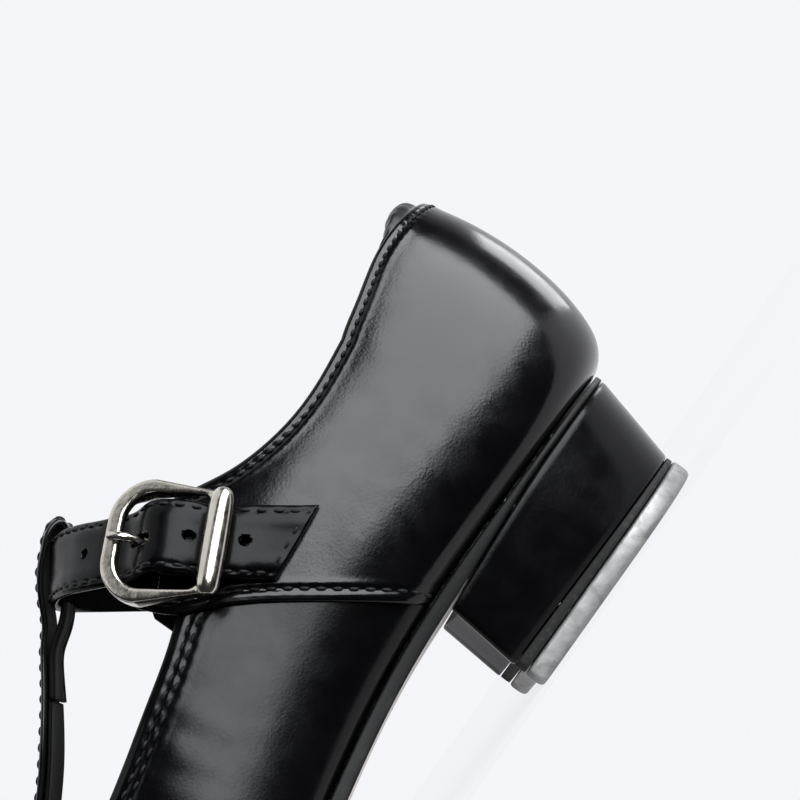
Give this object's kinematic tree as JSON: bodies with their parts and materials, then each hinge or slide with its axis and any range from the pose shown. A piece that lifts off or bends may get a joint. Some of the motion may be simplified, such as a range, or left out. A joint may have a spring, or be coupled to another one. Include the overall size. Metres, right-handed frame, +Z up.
{
  "type": "tap shoe",
  "caption": "Black low-heeled left tap shoe with a T-bar, a buckled ankle strap, a padded collar and metal toe and heel taps.",
  "frame": {"origin": "middle of the footprint's bounding box, on the floor that the taps rest on", "axes": "+Y points to the toe, +Z up, +X to the wearer's right, which is the inner side of this left shoe"},
  "size_m": [0.087, 0.2478, 0.103],
  "materials": {
    "black_leather": "glossy",
    "black_lining": "matte",
    "grey_sock": "matte",
    "fibre_board": "matte",
    "stiffener": "matte",
    "pale_sole": "matte",
    "heel_plastic": "matte",
    "lift_rubber": "matte",
    "tap_aluminium": "satin",
    "buckle_nickel": "polished",
    "steel": "satin"
  },
  "bodies": {
    "shoe": {"buckle_chape": "black_leather", "collar_pad": "black_lining", "forepart_filler": "fibre_board", "heel_core": "heel_plastic", "heel_counter": "stiffener", "heel_cover": "black_leather", "heel_lift": "lift_rubber", "heel_nail_1": "steel", "heel_nail_2": "steel", "heel_nail_3": "steel", "heel_nail_4": "steel", "heel_tap": "tap_aluminium", "heel_tap_screw_1": "steel", "heel_tap_screw_2": "steel", "heel_tap_screw_3": "steel", "insole_board": "fibre_board", "outsole": "pale_sole", "quarter": "black_leather", "quarter_lining": "black_lining", "shank": "steel", "sock_lining": "grey_sock", "strap_root": "black_leather", "t_bar": "black_leather", "t_bar_lining": "black_lining", "toe_puff": "stiffener", "toe_tap": "tap_aluminium", "toe_tap_screw_1": "steel", "toe_tap_screw_2": "steel", "toe_tap_screw_3": "steel", "vamp": "black_leather", "vamp_lining": "black_lining"},
    "strap": {"strap_end": "black_leather"},
    "buckle": {"buckle_frame": "buckle_nickel", "buckle_bar": "steel"},
    "prong": {"buckle_prong": "buckle_nickel"}
  },
  "joints": [
    {"name": "strap_open", "type": "hinge", "parent": "shoe", "child": "strap", "pos_m": [-0.00709, -0.01164, 0.0956], "axis": [-0.0226, 0.8282, -0.5599], "range_deg": [0, 70], "deforming": ["strap_end"]},
    {"name": "buckle_swing", "type": "hinge", "parent": "shoe", "child": "buckle", "pos_m": [-0.03218, -0.02777, 0.07497], "axis": [0.1975, -0.8607, 0.4693], "range_deg": [0, 10]},
    {"name": "prong_lift", "type": "hinge", "parent": "buckle", "child": "prong", "pos_m": [-0.03218, -0.02777, 0.07497], "axis": [0.1975, -0.8607, 0.4693], "range_deg": [0, 80]}
  ],
  "couplings": [
    {"joint": "buckle_swing", "follows": "strap_open", "ratio": 0.1428},
    {"joint": "prong_lift", "follows": "strap_open", "ratio": 1.1428}
  ]
}
